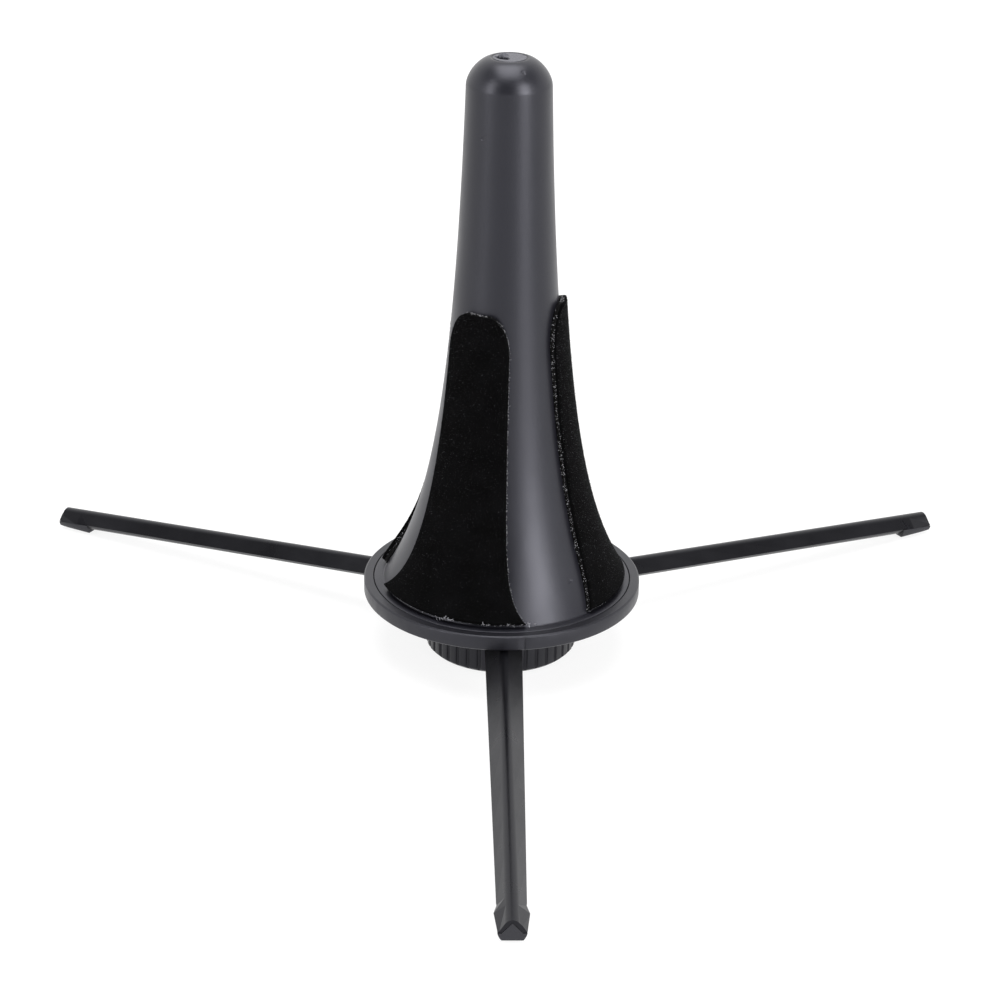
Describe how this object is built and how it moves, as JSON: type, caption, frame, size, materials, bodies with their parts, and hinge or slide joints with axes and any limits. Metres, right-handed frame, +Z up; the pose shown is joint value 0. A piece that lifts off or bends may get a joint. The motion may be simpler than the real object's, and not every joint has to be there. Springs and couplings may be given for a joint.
{
  "type": "trumpet stand",
  "caption": "In-bell trumpet stand: a hollow flared peg with velvet pads on a clamp knob with folding legs that store inside the peg.",
  "frame": {"origin": "on the peg's axis, at the surface that the feet stand on", "axes": "+Z up along the peg's axis; the front leg points along -Y"},
  "size_m": [0.2642, 0.2291, 0.1671],
  "materials": {
    "peg_abs": "satin dark grey",
    "plate_abs": "satin dark grey",
    "knob_abs": "satin dark grey",
    "leg_abs": "satin dark grey",
    "pad_velvet": "black velvet pile",
    "pad_foam": "closed-cell foam",
    "screw_steel": "zinc plated",
    "pin_steel": "ground",
    "foot_rubber": "matte rubber"
  },
  "bodies": {
    "base": {"clamp_knob": "knob_abs", "knob_cover": "knob_abs", "cover_screws": "screw_steel", "hinge_pin_front": "pin_steel", "hinge_pin_left": "pin_steel", "hinge_pin_right": "pin_steel"},
    "peg": {"peg_shell": "peg_abs", "base_plate": "plate_abs", "plate_screws": "screw_steel", "pad_foam_front": "pad_foam", "pad_foam_right": "pad_foam", "pad_foam_rear": "pad_foam", "pad_velvet_front": "pad_velvet", "pad_velvet_right": "pad_velvet", "pad_velvet_rear": "pad_velvet"},
    "front_leg": {"leg_front": "leg_abs", "foot_front": "foot_rubber"},
    "left_leg": {"leg_left": "leg_abs", "foot_left": "foot_rubber"},
    "right_leg": {"leg_right": "leg_abs", "foot_right": "foot_rubber"}
  },
  "joints": [
    {"name": "peg_lift", "type": "slide", "parent": "base", "child": "peg", "axis": [0, 0, 1], "range_m": [0, 0.165]},
    {"name": "front_leg_fold", "type": "hinge", "parent": "base", "child": "front_leg", "pos_m": [0, -0.01, 0.0105], "axis": [-1, 0, 0], "range_deg": [0, 95.6]},
    {"name": "left_leg_fold", "type": "hinge", "parent": "base", "child": "left_leg", "pos_m": [-0.00866, 0.005, 0.0105], "axis": [0.5, 0.866, 0], "range_deg": [0, 95.6]},
    {"name": "right_leg_fold", "type": "hinge", "parent": "base", "child": "right_leg", "pos_m": [0.00866, 0.005, 0.0105], "axis": [0.5, -0.866, 0], "range_deg": [0, 95.6]}
  ],
  "couplings": [
    {"joint": "front_leg_fold", "follows": "peg_lift", "rad_per_m": 10.11},
    {"joint": "left_leg_fold", "follows": "peg_lift", "rad_per_m": 10.11},
    {"joint": "right_leg_fold", "follows": "peg_lift", "rad_per_m": 10.11}
  ]
}
